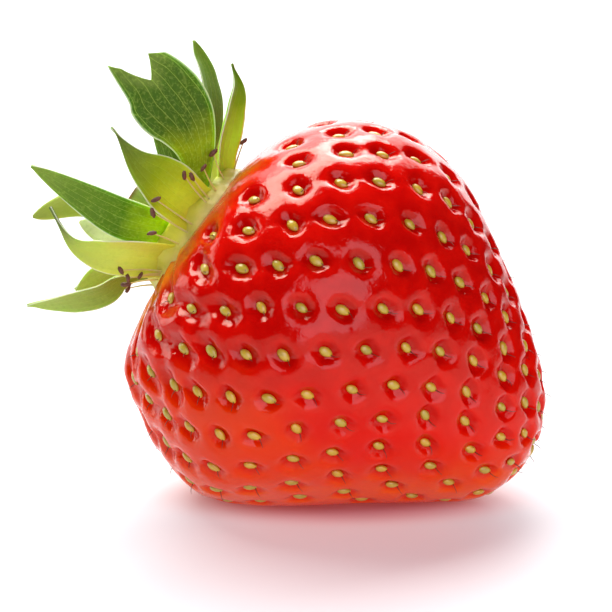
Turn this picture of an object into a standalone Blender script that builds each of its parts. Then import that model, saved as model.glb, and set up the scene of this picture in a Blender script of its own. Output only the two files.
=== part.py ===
"""A ripe strawberry lying on its side, with its calyx and the cut stub of its stem.

Every piece is drawn in the fruit's own axes and then tipped over onto the table.
There +Z runs from the tip to the calyx, +X is the upper side, -Y is the near side,
and the origin is the middle of the calyx. An angle round the fruit is 0 at +X and
90 degrees at -Y. Lengths in the tables are millimetres.
"""

import math

import bmesh
import bpy
from mathutils import Matrix, Vector

MM = 0.001

# How the fruit lies: the tip points down to the right and a little to the front.
AXIS_TIP_DOWN = math.radians(56.8)
AXIS_ROLL_BACK = math.radians(14.0)
FLAT_DEPTH = 0.45 * MM

# The flesh: two outlines, each (distance from the calyx, distance from the axis).
UPPER_OUTLINE = [
    (1.1, 0.0), (0.4, 4.6), (1.0, 9.2), (3.3, 13.7), (7.2, 17.0), (12.0, 18.5), (17.0, 18.0),
    (21.6, 15.9), (25.9, 13.2), (30.1, 10.3), (34.1, 7.2), (37.0, 3.2), (38.1, -0.9),
]
LOWER_OUTLINE = [
    (1.1, 0.0), (0.2, 4.6), (0.3, 9.4), (1.5, 14.4), (5.4, 17.5), (9.8, 19.7), (14.2, 20.4),
    (18.6, 18.4), (23.0, 15.6), (27.4, 12.5), (32.0, 9.4), (36.2, 6.1), (38.1, 0.9),
]
FLESH_DEPTH_RATIO = 0.94
FLESH_SEGMENTS = 48
FLESH_RINGS = 30

# The calyx cup, as (distance from the axis, height), and the stem stub.
CUP_PROFILE = [(0.0, 1.2), (3.4, 1.0), (4.7, 1.0), (5.0, 0.75), (4.9, 0.3), (3.0, -0.25), (0.0, -0.7)]
STEM_RADIUS = 0.95
STEM_LINE = [(0.0, 0.0, 1.55), (-0.1, 0.0, 3.4), (-0.35, 0.1, 5.2), (-0.5, 0.1, 6.8)]

# The leaves. Each spine runs from the calyx ring to the leaf's tip, and facing is
# the way its upper face looks at the base and at the tip.
LEAF_THICKNESS = 0.3
LEAF_ACROSS = 6
LEAF_ALONG = 10
SMALLEST_HALF_WIDTH = 0.1
LEAVES = {
    "sepal_1": {
        "spine": [(5.4, -1.1, 0.7), (7.8, -1.9, 1.95), (10.9, -2.4, 3.15), (13.2, -2.4, 3.95), (14.7, -2.2, 5.5)],
        "facing": [(0.3, -0.3, -0.9), (0.5, -0.5, -0.7)],
        "width": 4.2, "base": 0.85, "widest": 0.4, "taper": 2.0, "cup": 0.3,
        "colour": (0.42, 0.50, 0.03),
    },
    "sepal_2": {
        "spine": [(1.75, -5.3, 0.5), (1.95, -6.2, 2.7), (2.25, -7.0, 4.9), (2.45, -8.0, 7.6), (3.6, -9.2, 11.0)],
        "facing": [(0.3, -0.95, -0.3), (0.1, -0.9, -0.4)],
        "width": 5.7, "base": 0.88, "widest": 0.35, "taper": 1.8, "cup": 0.15,
        "colour": (0.33, 0.47, 0.02),
    },
    "sepal_3": {
        "spine": [(-3.45, -4.4, 0.5), (-5.0, -5.2, 3.0), (-6.6, -5.9, 6.0), (-7.1, -6.5, 8.6), (-5.5, -7.0, 11.9)],
        "facing": [(-0.6, -0.75, -0.3), (-0.3, -0.9, -0.2)],
        "width": 4.2, "base": 0.95, "widest": 0.22, "taper": 2.2, "cup": 0.25,
        "colour": (0.42, 0.52, 0.08),
    },
    "sepal_4": {
        "spine": [
            (-5.4, -0.5, 0.6), (-6.1, -0.8, 2.1), (-7.6, -1.1, 3.3),
            (-9.6, -1.3, 4.2), (-11.9, -1.6, 6.2), (-14.4, -2.0, 9.1),
        ],
        "facing": [(-0.7, -0.2, -0.7), (-0.6, -0.7, -0.5)],
        "width": 3.6, "base": 0.6, "widest": 0.6, "taper": 0.9, "cup": 0.3,
        "colour": (0.24, 0.40, 0.07),
    },
    "sepal_5": {
        "spine": [(-0.8, 5.5, 0.5), (-2.0, 6.8, 4.0), (-2.7, 8.0, 7.8), (-3.9, 8.8, 11.2), (-7.5, 9.3, 14.2)],
        "facing": [(-0.1, 0.9, -0.3), (-0.6, 0.7, 0.3)],
        "width": 3.6, "base": 0.95, "widest": 0.45, "taper": 0.6, "cup": 0.2,
        "colour": (0.45, 0.58, 0.12),
    },
    "sepal_6": {
        "spine": [(4.15, 3.75, 0.5), (6.1, 5.6, 2.4), (8.1, 7.4, 5.0), (9.4, 8.8, 8.2)],
        "facing": [(0.6, 0.6, -0.6), (0.6, 0.6, -0.5)],
        "width": 4.4, "base": 0.95, "widest": 0.35, "taper": 1.2, "cup": 0.2,
        "colour": (0.33, 0.47, 0.05),
    },
    "bract_1": {
        "spine": [
            (2.9, -3.0, 1.7), (5.8, -4.2, 3.5), (7.6, -5.0, 5.8),
            (8.5, -5.6, 8.5), (9.2, -6.0, 10.6), (9.7, -6.8, 14.5),
        ],
        "facing": [(0.3, -0.9, -0.3), (0.1, -1.0, 0.0)],
        "width": 7.1, "base": 0.3, "widest": 0.58, "taper": 1.0, "end": 0.46, "cup": 0.08,
        "lobes": [(-1.0, 1.0), (-0.5, 0.945), (0.0, 0.8), (0.33, 0.87), (0.67, 0.925), (1.0, 0.85)],
        "colour": (0.05, 0.19, 0.02),
    },
    "bract_2": {
        "spine": [(-0.8, -4.1, 1.7), (-1.9, -5.0, 3.3), (-2.8, -6.2, 6.0), (-3.1, -7.7, 9.6), (-3.3, -9.6, 15.1)],
        "facing": [(-0.2, -0.95, -0.1), (0.0, -1.0, 0.1)],
        "width": 3.8, "base": 0.65, "widest": 0.45, "taper": 0.8, "cup": 0.12,
        "colour": (0.07, 0.25, 0.02),
    },
    "bract_3": {
        "spine": [(-3.9, 1.3, 1.7), (-6.1, 1.7, 3.9), (-8.3, 2.1, 5.3), (-10.9, 2.4, 6.5)],
        "facing": [(-0.6, -0.4, -0.7), (-0.5, -0.7, -0.5)],
        "width": 3.2, "base": 0.7, "widest": 0.5, "taper": 0.9, "cup": 0.15,
        "colour": (0.16, 0.36, 0.04),
    },
    "bract_4": {
        "spine": [(-2.3, 3.4, 1.7), (-3.7, 4.8, 4.3), (-4.7, 6.1, 7.0), (-5.4, 7.1, 10.0)],
        "facing": [(-0.5, 0.8, -0.1), (-0.3, 0.9, 0.0)],
        "width": 3.2, "base": 0.7, "widest": 0.5, "taper": 0.7, "cup": 0.15,
        "colour": (0.33, 0.48, 0.27),
    },
    "bract_5": {
        "spine": [(1.6, 3.8, 1.7), (3.5, 5.2, 4.2), (5.4, 6.5, 7.0), (7.0, 7.6, 10.2)],
        "facing": [(0.4, 0.9, -0.2), (0.4, 0.9, -0.1)],
        "width": 3.4, "base": 0.7, "widest": 0.45, "taper": 0.9, "cup": 0.15,
        "colour": (0.12, 0.29, 0.08),
    },
    "bract_6": {
        "spine": [(3.9, 1.2, 1.7), (7.0, 1.9, 3.4), (10.6, 2.7, 5.2), (13.1, 3.3, 7.6), (14.8, 3.7, 10.1)],
        "facing": [(0.6, -0.2, -0.7), (0.6, -0.6, -0.5)],
        "width": 3.6, "base": 0.65, "widest": 0.5, "taper": 0.9, "cup": 0.15,
        "colour": (0.10, 0.24, 0.07),
    },
}

# The stamens: the angle round the fruit, then the anther's distance from the axis
# and its height over the calyx. The profile is (share of the length, share of the radius).
STAMEN_RING_RADIUS = 6.35
STAMEN_RING_HEIGHT = 0.05
FILAMENT_RADIUS = 0.11
STAMEN_PROFILE = [(0.0, 1.0), (0.25, 1.0), (0.5, 1.0), (0.76, 1.0), (0.8, 2.4), (0.9, 3.1), (1.0, 1.6)]
STAMENS = [
    (8, 9.4, 0.7), (35, 8.3, 2.3), (52, 8.3, 2.2), (62, 8.2, 2.6), (66.5, 8.9, 3.2), (88, 9.0, 4.1),
    (95.5, 8.7, 3.7), (107, 8.3, 2.8), (138, 9.2, 3.4), (143, 8.9, 2.5), (140, 8.2, 1.7), (150, 8.9, 2.4),
    (196, 8.4, 2.4), (214, 8.6, 3.2), (238, 8.3, 2.3), (281, 8.7, 3.1), (300, 8.3, 2.2), (343, 8.5, 1.6),
]


def make_collection(name, hidden=False):
    made = bpy.data.collections.new(name)
    made.hide_render = hidden
    bpy.context.scene.collection.children.link(made)
    return made


def make_material(name, colour, roughness, subsurface=0.0):
    made = bpy.data.materials.new(name)
    made.use_nodes = True
    made.diffuse_color = (*colour, 1.0)
    shader = made.node_tree.nodes["Principled BSDF"]
    shader.inputs["Base Color"].default_value = (*colour, 1.0)
    shader.inputs["Roughness"].default_value = roughness
    shader.inputs["Metallic"].default_value = 0.0
    shader.inputs["Subsurface Weight"].default_value = subsurface
    return made


def place(name, data, collection, axes, material):
    """Makes an object of this mesh or curve, hung on the fruit's axes."""
    made = bpy.data.objects.new(name, data)
    collection.objects.link(made)
    made.parent = axes
    data.materials.append(material)
    return made


def shade_smooth(mesh, sharp_angle=50.0):
    mesh.shade_smooth()
    mesh.set_sharp_from_angle(angle=math.radians(sharp_angle))


def curve_point(points, amount):
    """The point this far, from 0 to 1, along a Catmull-Rom curve through the points."""
    last = len(points) - 1
    place_on_curve = min(max(amount, 0.0), 1.0) * last
    index = min(int(place_on_curve), last - 1)
    part = place_on_curve - index
    start, end = Vector(points[index]), Vector(points[index + 1])
    before = Vector(points[index - 1]) if index > 0 else start * 2 - end
    after = Vector(points[index + 2]) if index + 2 <= last else end * 2 - start
    leave = (end - before) / 2
    arrive = (after - start) / 2
    return (
        start * (2 * part**3 - 3 * part**2 + 1)
        + leave * (part**3 - 2 * part**2 + part)
        + end * (3 * part**2 - 2 * part**3)
        + arrive * (part**3 - part**2)
    )


def smooth_step(amount):
    amount = min(max(amount, 0.0), 1.0)
    return amount * amount * (3 - 2 * amount)


def flesh_point(amount, angle):
    """The skin at this part of the way from calyx to tip, and at this angle round the fruit."""
    upper = curve_point(UPPER_OUTLINE, amount)
    lower = curve_point(LOWER_OUTLINE, amount)
    share = (1 - math.cos(angle)) / 2
    distance = upper.x + (lower.x - upper.x) * share
    middle = (upper.y - lower.y) / 2
    radius = (upper.y + lower.y) / 2
    return Vector((
        middle + radius * math.cos(angle),
        -radius * FLESH_DEPTH_RATIO * math.sin(angle),
        -distance,
    )) * MM


def make_flesh(collection, axes):
    ball = bmesh.new()
    bmesh.ops.create_uvsphere(ball, u_segments=FLESH_SEGMENTS, v_segments=FLESH_RINGS, radius=1)
    for vert in ball.verts:
        amount = math.acos(min(max(vert.co.z, -1.0), 1.0)) / math.pi
        vert.co = flesh_point(amount, math.atan2(-vert.co.y, vert.co.x))
    bmesh.ops.recalc_face_normals(ball, faces=ball.faces)
    mesh = bpy.data.meshes.new("flesh")
    ball.to_mesh(mesh)
    ball.free()
    shade_smooth(mesh)
    skin = make_material("ripe_flesh", (0.62, 0.01, 0.006), 0.2, subsurface=0.3)
    return place("flesh", mesh, collection, axes, skin)


def rest_flesh_on_flat(flesh, axes, cutters):
    """Lowers the fruit until the table plane cuts a shallow flat spot into its lower side."""
    turned = axes.matrix_world.to_3x3()
    lowest = min((turned @ vert.co).z for vert in flesh.data.vertices)
    axes.location.z = -lowest - FLAT_DEPTH
    block = bmesh.new()
    side = 80 * MM
    bmesh.ops.create_cube(block, size=side)
    bmesh.ops.translate(block, verts=block.verts, vec=(0, 0, -side / 2))
    mesh = bpy.data.meshes.new("table_cutter")
    block.to_mesh(mesh)
    block.free()
    cutter = bpy.data.objects.new("table_cutter", mesh)
    cutter.hide_render = True
    cutter.display_type = "WIRE"
    cutters.objects.link(cutter)
    cut = flesh.modifiers.new("flat_spot", "BOOLEAN")
    cut.operation = "DIFFERENCE"
    cut.solver = "EXACT"
    cut.object = cutter


def make_cup(collection, axes):
    """The green disc that joins the leaves, the stem and the flesh, turned on the fruit's axis."""
    outline = bmesh.new()
    corners = [outline.verts.new((radius * MM, 0, height * MM)) for radius, height in CUP_PROFILE]
    for start, end in zip(corners, corners[1:]):
        outline.edges.new((start, end))
    mesh = bpy.data.meshes.new("calyx_cup")
    outline.to_mesh(mesh)
    outline.free()
    pale = make_material("pale_calyx", (0.56, 0.60, 0.22), 0.5, subsurface=0.2)
    cup = place("calyx_cup", mesh, collection, axes, pale)
    turn = cup.modifiers.new("turn", "SCREW")
    turn.axis = "Z"
    turn.steps = 32
    turn.render_steps = 32
    turn.use_merge_vertices = True
    turn.merge_threshold = 0.00001
    turn.use_smooth_shade = True
    return cup


def make_tube(name, line, radii, resolution):
    """A curve along the line, as thick as the radii say, with closed ends."""
    curve = bpy.data.curves.new(name, "CURVE")
    curve.dimensions = "3D"
    curve.bevel_depth = MM
    curve.bevel_resolution = resolution
    curve.use_fill_caps = True
    spline = curve.splines.new("POLY")
    spline.points.add(len(line) - 1)
    for point, centre, radius in zip(spline.points, line, radii):
        point.co = (*(Vector(centre) * MM), 1.0)
        point.radius = radius
    spline.use_smooth = True
    return curve


def make_stem(collection, axes):
    steps = 9
    line = [curve_point(STEM_LINE, step / steps) for step in range(steps + 1)]
    radii = [STEM_RADIUS * (1.12 - 0.12 * smooth_step(step / 3)) for step in range(steps + 1)]
    curve = make_tube("stem", line, radii, resolution=4)
    return place("stem", curve, collection, axes, make_material("stem_green", (0.36, 0.52, 0.08), 0.5))


def leaf_half_width(leaf, along):
    """Half the blade's width: it swells from the base to the widest place and narrows to the tip."""
    if along < leaf["widest"]:
        share = leaf["base"] + (1 - leaf["base"]) * smooth_step(along / leaf["widest"])
    else:
        past = (along - leaf["widest"]) / (1 - leaf["widest"])
        end = leaf.get("end", 0.0)
        share = end + (1 - end) * max(1 - past**2, 0.0) ** leaf["taper"]
    return max(leaf["width"] / 2 * share, SMALLEST_HALF_WIDTH)


def lobe_reach(lobes, side):
    """The share of its length that a two-pointed blade reaches at this place across it."""
    for (start, low), (end, high) in zip(lobes, lobes[1:]):
        if side <= end:
            return low + (high - low) * (side - start) / (end - start)
    return lobes[-1][1]


def leaf_point(leaf, side, along):
    """The point of the blade at side, from -1 to 1 across it, and along, from 0 to 1."""
    if "lobes" in leaf:
        along *= lobe_reach(leaf["lobes"], side)
    step = 0.01
    centre = curve_point(leaf["spine"], along)
    ahead = curve_point(leaf["spine"], min(along + step, 1.0))
    behind = curve_point(leaf["spine"], max(along - step, 0.0))
    tangent = (ahead - behind).normalized()
    facing = Vector(leaf["facing"][0]).lerp(Vector(leaf["facing"][1]), along)
    across = tangent.cross(facing).normalized()
    outward = across.cross(tangent).normalized()
    half = leaf_half_width(leaf, along)
    return (centre + across * (side * half) + outward * (leaf["cup"] * half * side**2)) * MM


def make_leaf(name, leaf, collection, axes):
    blade = bmesh.new()
    across = LEAF_ACROSS * 2 if "lobes" in leaf else LEAF_ACROSS
    bmesh.ops.create_grid(blade, x_segments=across, y_segments=LEAF_ALONG, size=1)
    for vert in blade.verts:
        vert.co = leaf_point(leaf, vert.co.x, (vert.co.y + 1) / 2)
    mesh = bpy.data.meshes.new(name)
    blade.to_mesh(mesh)
    blade.free()
    shade_smooth(mesh)
    green = make_material(name + "_green", leaf["colour"], 0.45, subsurface=0.1)
    made = place(name, mesh, collection, axes, green)
    thickness = made.modifiers.new("blade", "SOLIDIFY")
    thickness.thickness = LEAF_THICKNESS * MM
    thickness.offset = 0
    return made


def make_stamen(number, angle, reach, height, collection, axes, material):
    """A thin filament from the calyx ring out to a swollen anther at its end."""
    outward = Vector((math.cos(math.radians(angle)), -math.sin(math.radians(angle)), 0))
    root = outward * STAMEN_RING_RADIUS + Vector((0, 0, STAMEN_RING_HEIGHT))
    tip = outward * reach + Vector((0, 0, height))
    bow = outward * 0.35 * (reach - STAMEN_RING_RADIUS)
    line = []
    radii = []
    for along, radius in STAMEN_PROFILE:
        line.append(root.lerp(tip, along) + bow * math.sin(math.pi * along))
        radii.append(radius * FILAMENT_RADIUS)
    curve = make_tube(f"stamen_{number:02d}", line, radii, resolution=1)
    return place(f"stamen_{number:02d}", curve, collection, axes, material)


def centre_on_origin(pieces, axes):
    """Puts the middle of the whole fruit's box over the origin, and keeps its height."""
    bpy.context.view_layer.update()
    graph = bpy.context.evaluated_depsgraph_get()
    points = []
    for piece in pieces:
        ready = piece.evaluated_get(graph)
        mesh = ready.to_mesh()
        points += [ready.matrix_world @ vert.co for vert in mesh.vertices]
        ready.to_mesh_clear()
    for axis in (0, 1):
        values = [point[axis] for point in points]
        axes.location[axis] -= (min(values) + max(values)) / 2


def main():
    for old in list(bpy.data.objects):
        bpy.data.objects.remove(old, do_unlink=True)
    pieces = make_collection("strawberry")
    cutters = make_collection("strawberry_cutters", hidden=True)
    axes = bpy.data.objects.new("fruit_axes", None)
    pieces.objects.link(axes)
    turn = Matrix.Rotation(-AXIS_ROLL_BACK, 4, "X") @ Matrix.Rotation(-AXIS_TIP_DOWN, 4, "Y")
    axes.rotation_euler = turn.to_euler()
    bpy.context.view_layer.update()

    flesh = make_flesh(pieces, axes)
    rest_flesh_on_flat(flesh, axes, cutters)
    made = [flesh, make_cup(pieces, axes), make_stem(pieces, axes)]
    for name, leaf in LEAVES.items():
        made.append(make_leaf(name, leaf, pieces, axes))
    brown = make_material("dry_anther", (0.06, 0.02, 0.01), 0.7)
    for number, (angle, reach, height) in enumerate(STAMENS, start=1):
        made.append(make_stamen(number, angle, reach, height, pieces, axes, brown))
    centre_on_origin(made, axes)


main()
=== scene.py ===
import math
import random

import bmesh
import bpy
import numpy as np
from mathutils import Matrix, Vector, noise
from mathutils.kdtree import KDTree


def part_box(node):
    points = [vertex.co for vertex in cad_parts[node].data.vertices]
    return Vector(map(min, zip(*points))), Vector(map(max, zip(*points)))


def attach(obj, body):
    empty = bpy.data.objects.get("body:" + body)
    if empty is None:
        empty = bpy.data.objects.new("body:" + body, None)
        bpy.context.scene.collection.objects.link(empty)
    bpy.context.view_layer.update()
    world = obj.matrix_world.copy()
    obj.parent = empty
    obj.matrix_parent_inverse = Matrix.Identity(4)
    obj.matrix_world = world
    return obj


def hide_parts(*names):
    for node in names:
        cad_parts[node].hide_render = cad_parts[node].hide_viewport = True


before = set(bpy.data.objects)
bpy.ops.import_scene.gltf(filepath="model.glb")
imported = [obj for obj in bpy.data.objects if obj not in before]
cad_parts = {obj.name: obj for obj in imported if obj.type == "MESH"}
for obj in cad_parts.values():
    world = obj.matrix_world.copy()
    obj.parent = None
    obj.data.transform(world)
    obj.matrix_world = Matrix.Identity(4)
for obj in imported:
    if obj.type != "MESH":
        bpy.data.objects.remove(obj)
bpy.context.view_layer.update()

mm = 0.001
random.seed(7)

# The pieces are drawn in the fruit's own axes, in millimetres: +Z runs from the tip to the
# calyx, +X is the upper side, -Y the near side, and the origin is the middle of the calyx.
lie = {"tipDown": 56.8, "rollBack": 14.0}

berry = {
    # Two outlines, each (distance from the calyx, distance from the axis).
    "upper": [
        (1.1, 0.0), (0.4, 4.6), (1.0, 9.2), (3.3, 13.7), (7.2, 17.0), (12.0, 18.5), (17.0, 18.0),
        (21.6, 15.9), (25.9, 13.2), (30.1, 10.3), (34.1, 7.2), (37.0, 3.2), (38.1, -0.9),
    ],
    "lower": [
        (1.1, 0.0), (0.2, 4.6), (0.3, 9.4), (1.5, 14.4), (5.4, 17.5), (9.8, 19.7), (14.2, 20.4),
        (18.6, 18.4), (23.0, 15.6), (27.4, 12.5), (32.0, 9.4), (36.2, 6.1), (38.1, 0.9),
    ],
    "depthShare": 0.94,
    "cuts": 124,
    "undulation": 0.16,
}


def curveThrough(points, amounts):
    # A Catmull-Rom curve through the points, read at many amounts from 0 to 1.
    points = np.array(points, float)
    last = len(points) - 1
    spot = np.clip(amounts, 0, 1) * last
    index = np.minimum(spot.astype(int), last - 1)
    part = (spot - index)[:, None]
    longer = np.vstack([2 * points[0] - points[1], points, 2 * points[-1] - points[-2]])
    before, start, end, after = (longer[index + step] for step in range(4))
    leave = (end - before) / 2
    arrive = (after - start) / 2
    return (
        start * (2 * part**3 - 3 * part**2 + 1)
        + leave * (part**3 - 2 * part**2 + part)
        + end * (3 * part**2 - 2 * part**3)
        + arrive * (part**3 - part**2)
    )


def smoothStep(low, high, values):
    share = np.clip((values - low) / (high - low), 0, 1)
    return share * share * (3 - 2 * share)


def unit(vectors):
    return vectors / np.maximum(np.linalg.norm(vectors, axis=-1, keepdims=True), 1e-9)


def skinPoints(amounts, angles):
    # The skin at these amounts of the way from calyx to tip, and these angles round the fruit.
    upper = curveThrough(berry["upper"], amounts)
    lower = curveThrough(berry["lower"], amounts)
    share = (1 - np.cos(angles)) / 2
    middle = (upper[:, 1] - lower[:, 1]) / 2
    radius = (upper[:, 1] + lower[:, 1]) / 2
    return np.stack([
        middle + radius * np.cos(angles),
        -radius * berry["depthShare"] * np.sin(angles),
        -(upper[:, 0] + (lower[:, 0] - upper[:, 0]) * share),
    ], axis=-1)


def fruitToWorld():
    # The tilt is known, and the place comes from the flesh's box.
    turn = Matrix.Rotation(math.radians(-lie["rollBack"]), 3, "X")
    turn = np.array(turn @ Matrix.Rotation(math.radians(-lie["tipDown"]), 3, "Y"))
    amounts, angles = np.meshgrid(np.linspace(0, 1, 90), np.linspace(0, math.tau, 181))
    turned = skinPoints(amounts.ravel(), angles.ravel()) @ turn.T
    low, high = (np.array(corner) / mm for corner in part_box("flesh"))
    ownLow, ownHigh = turned.min(axis=0), turned.max(axis=0)
    place = (low + high - ownLow - ownHigh) / 2
    place[2] = high[2] - ownHigh[2]
    return turn, place


turnMatrix, placeVector = fruitToWorld()
print("fruit axes at", placeVector.round(3), "mm")


def toWorld(points):
    return (points @ turnMatrix.T + placeVector) * mm


def readPoints(mesh):
    values = np.empty(len(mesh.vertices) * 3, np.float32)
    mesh.vertices.foreach_get("co", values)
    return values.reshape(-1, 3).astype(float)


def writePoints(mesh, points):
    mesh.vertices.foreach_set("co", points.astype(np.float32).ravel())
    mesh.update()


def addNumbers(mesh, name, values):
    layer = mesh.attributes.new(name, "FLOAT", "POINT")
    layer.data.foreach_set("value", values.astype(np.float32))


def roughNoise(points, scale, seed):
    # Smooth noise from -1 to 1 at each point, with bumps about 1 / scale across.
    shift = Vector((seed * 17.3, seed * 5.1, seed * 9.7))
    return np.array([noise.noise(Vector(point) * scale + shift) for point in points])


def addObject(name, data):
    made = bpy.data.objects.new(name, data)
    bpy.context.scene.collection.objects.link(made)
    return made


def finishPiece(name, mesh, material, replaced=()):
    piece = addObject(name, mesh)
    mesh.materials.append(material)
    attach(piece, "root")
    if replaced:
        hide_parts(*replaced)
    return piece


def meshFrom(shape, name):
    mesh = bpy.data.meshes.new(name)
    shape.to_mesh(mesh)
    shape.free()
    mesh.shade_smooth()
    return mesh


def rodTemplate(name, sides, bottom, top, joints):
    # An upright rod of length 1, with joints on its way so that it can bend.
    shape = bmesh.new()
    bmesh.ops.create_cone(shape, cap_ends=True, segments=sides, radius1=bottom, radius2=top, depth=1,
                          matrix=Matrix.Translation((0, 0, 0.5)))
    upright = [edge for edge in shape.edges if abs(edge.verts[0].co.z - edge.verts[1].co.z) > 0.5]
    bmesh.ops.subdivide_edges(shape, edges=upright, cuts=joints)
    return meshFrom(shape, name)


def newMaterial(name):
    made = bpy.data.materials.new(name)
    made.use_nodes = True
    tree = made.node_tree
    return made, tree, tree.nodes["Principled BSDF"]


def addNode(tree, kind, inputs=None, **settings):
    node = tree.nodes.new(kind)
    for key, value in settings.items():
        setattr(node, key, value)
    for key, value in (inputs or {}).items():
        socket = node.inputs[key]
        if isinstance(value, bpy.types.NodeSocket):
            tree.links.new(value, socket)
        else:
            socket.default_value = value
    return node


def mathNode(tree, operation, *values):
    return addNode(tree, "ShaderNodeMath", dict(enumerate(values)), operation=operation).outputs[0]


def remap(tree, value, low, high, toLow=0.0, toHigh=1.0):
    numbers = {"Value": value, "From Min": low, "From Max": high, "To Min": toLow, "To Max": toHigh}
    return addNode(tree, "ShaderNodeMapRange", numbers, interpolation_type="SMOOTHSTEP").outputs["Result"]


def mixColour(tree, amount, first, second, blend="MIX"):
    node = addNode(tree, "ShaderNodeMix", data_type="RGBA", blend_type=blend)
    factor, under, over = (node.inputs[index] for index in (0, 6, 7))  # a Mix node's colour sockets
    for socket, value in ((factor, amount), (under, first), (over, second)):
        if isinstance(value, bpy.types.NodeSocket):
            tree.links.new(value, socket)
        else:
            socket.default_value = (*value, 1.0) if isinstance(value, tuple) else value
    return node.outputs[2]


def attributeNode(tree, name):
    return addNode(tree, "ShaderNodeAttribute", attribute_name=name).outputs["Fac"]


def objectPlace(tree):
    return addNode(tree, "ShaderNodeTexCoord").outputs["Object"]


def noiseNode(tree, place, size, detail):
    # Noise whose bumps are about this many millimetres across.
    numbers = {"Vector": place, "Scale": 1 / (size * mm), "Detail": detail}
    return addNode(tree, "ShaderNodeTexNoise", numbers).outputs["Fac"]


def addBump(tree, shader, height, strength, distance):
    numbers = {"Height": height, "Strength": strength, "Distance": distance * mm}
    bump = addNode(tree, "ShaderNodeBump", numbers)
    tree.links.new(bump.outputs["Normal"], shader.inputs["Normal"])


def setFinish(shader, finish):
    # Gloss and the light that goes into the surface: the shader's own settings, the same all over.
    for key, value in finish.items():
        shader.inputs[key].default_value = value


# The seats of the achenes. Each turns on by the same angle from the last, so they lie in spiral rows.
seatLayout = {
    "divergence": 137.492,
    "startAngle": 283.9,
    "hand": -1,
    # Spacing of the seats at places along the way from calyx to tip, in mm.
    "spacingAt": (0.1, 0.28, 0.46, 0.64, 0.82, 1.0),
    "spacing": (4.0, 4.55, 4.4, 4.0, 3.65, 3.2),
    "slant": 0.035,  # the rows lie a little further from the calyx on one side
    "slantAngle": 352.0,
    "first": 0.19,
    "pushed": 0.03,  # the first rows lie this much further from the calyx
    "pushedPart": (0.45, 0.22),
    "last": 0.985,
    "wander": 0.16,
    "twist": 0.16,
    "sizes": (0.92, 1.08),
    "clearOfTable": 0.75,
}


def seatPlaces():
    steps = np.linspace(0, 1, 1001)
    upper = curveThrough(berry["upper"], steps)
    lower = curveThrough(berry["lower"], steps)
    line = (upper + lower) / 2
    radius = (upper[:, 1] + lower[:, 1]) / 2
    length = np.hypot(np.gradient(line[:, 0]), np.gradient(line[:, 1]))
    spacing = np.interp(steps, seatLayout["spacingAt"], seatLayout["spacing"])
    count = np.cumsum(math.tau * radius * length / (spacing**2 * math.sqrt(3) / 2))
    number = np.arange(int(count[-1]))
    amounts = np.interp(number + 0.5, count, steps)
    angles = math.radians(seatLayout["startAngle"])
    angles = angles + seatLayout["hand"] * number * math.radians(seatLayout["divergence"])
    slant = seatLayout["slant"] * np.cos(angles - math.radians(seatLayout["slantAngle"]))
    amounts = amounts + slant * np.sin(math.pi * amounts)
    keep = (amounts > seatLayout["first"]) & (amounts < seatLayout["last"])
    amounts, angles = amounts[keep], angles[keep] % math.tau
    amounts = amounts + seatLayout["pushed"] * smoothStep(*seatLayout["pushedPart"], amounts)
    return amounts, angles, spacing[(amounts * 1000).astype(int)]


def makeSeats():
    # Each seat has a place, the ways towards the tip, to the side and out, and the local spacing.
    amounts, angles, spacing = seatPlaces()
    step = 0.004
    heart = np.array([0, 0, -17.0])  # a point well inside the fruit
    places = skinPoints(amounts, angles)
    along = unit(skinPoints(amounts + step, angles) - skinPoints(amounts - step, angles))
    around = unit(skinPoints(amounts, angles + step) - skinPoints(amounts, angles - step))
    out = unit(np.cross(along, around))
    out *= np.sign((out * (places - heart)).sum(axis=1))[:, None]
    side = np.cross(out, along)
    made = []
    wander = seatLayout["wander"]
    heights = toWorld(places)[:, 2] / mm
    for index in np.flatnonzero(heights >= seatLayout["clearOfTable"]):
        place = places[index] + along[index] * random.uniform(-wander, wander)
        place = place + side[index] * random.uniform(-wander, wander)
        twist = random.gauss(0, seatLayout["twist"])
        tipward = along[index] * math.cos(twist) + side[index] * math.sin(twist)
        made.append({
            "place": place, "tipward": tipward, "out": out[index], "side": np.cross(out[index], tipward),
            "spacing": spacing[index], "amount": amounts[index], "angle": angles[index],
            "size": random.uniform(*seatLayout["sizes"]), "tint": random.random(),
        })
    return made


seats = makeSeats()
print("seats:", len(seats))


pits = {
    # A wide shallow bowl, and in its middle a steeper cup that holds the achene.
    "bowl": {"halfLength": 1.9, "halfWidth": 1.6, "depth": 0.30, "atTable": 0.35},
    "cup": {"halfLength": 1.28, "halfWidth": 1.02, "depth": 0.46, "floor": 0.3, "atTable": 0.7},
    "fullHeight": 7.5,  # pits are at their full size from this height up
    "commonSpacing": 3.9,
    "stretch": 0.9,  # pits are longer and deeper on the lower side near the calyx, with folds between
    "deeperInFolds": 0.2,
    "reach": 3.0,
    "raggedness": 0.12,
    "drawIn": 0.34,  # how much closer the mesh is drawn to each achene
}
neck = {"ribs": 24, "height": 0.26, "starts": (0.07, 0.11), "ends": (0.27, 0.11), "wander": 2.2}


def makeBall(cuts):
    # A cube cut into even squares, blown out to a ball.
    ball = bmesh.new()
    bmesh.ops.create_cube(ball, size=2)
    bmesh.ops.subdivide_edges(ball, edges=ball.edges, cuts=cuts, use_grid_fill=True)
    mesh = bpy.data.meshes.new("flesh")
    ball.to_mesh(mesh)
    ball.free()
    points = readPoints(mesh)
    return mesh, unit(np.tan(points * math.pi / 4))


def heightOf(seat):
    # How far above the table this seat lies, in mm.
    return toWorld(seat["place"][None, :])[0, 2] / mm


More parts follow.
